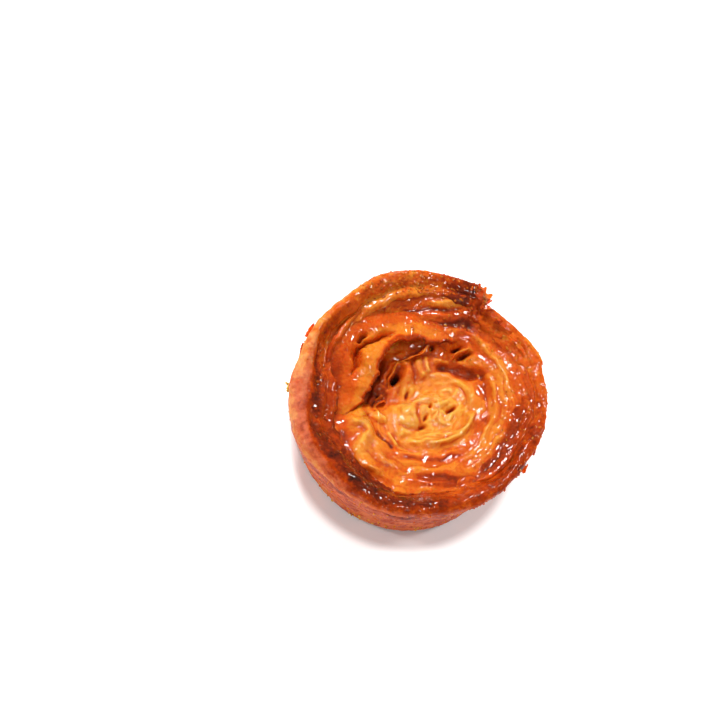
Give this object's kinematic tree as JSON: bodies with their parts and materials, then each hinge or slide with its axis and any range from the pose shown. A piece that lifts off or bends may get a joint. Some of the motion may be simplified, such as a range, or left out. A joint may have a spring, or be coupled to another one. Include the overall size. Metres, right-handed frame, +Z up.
{
  "type": "kouign amann pastry",
  "caption": "Round laminated butter pastry with a rolled caramelised lip, a sunken folded face and a flat base to stand on.",
  "frame": {"origin": "centre of the flat base that the pastry stands on", "axes": "+Z up through the sunken face, +X to the side where the turns of dough lie closest, +Y to the thick top of the lip"},
  "size_m": [0.0903, 0.0901, 0.0405],
  "materials": {
    "caramelised_crust": "orange brown baked dough under a thin glossy caramel, darker on the lip and golden in the middle"
  },
  "bodies": {
    "root": {"kouign_amann": "caramelised_crust"}
  },
  "joints": []
}
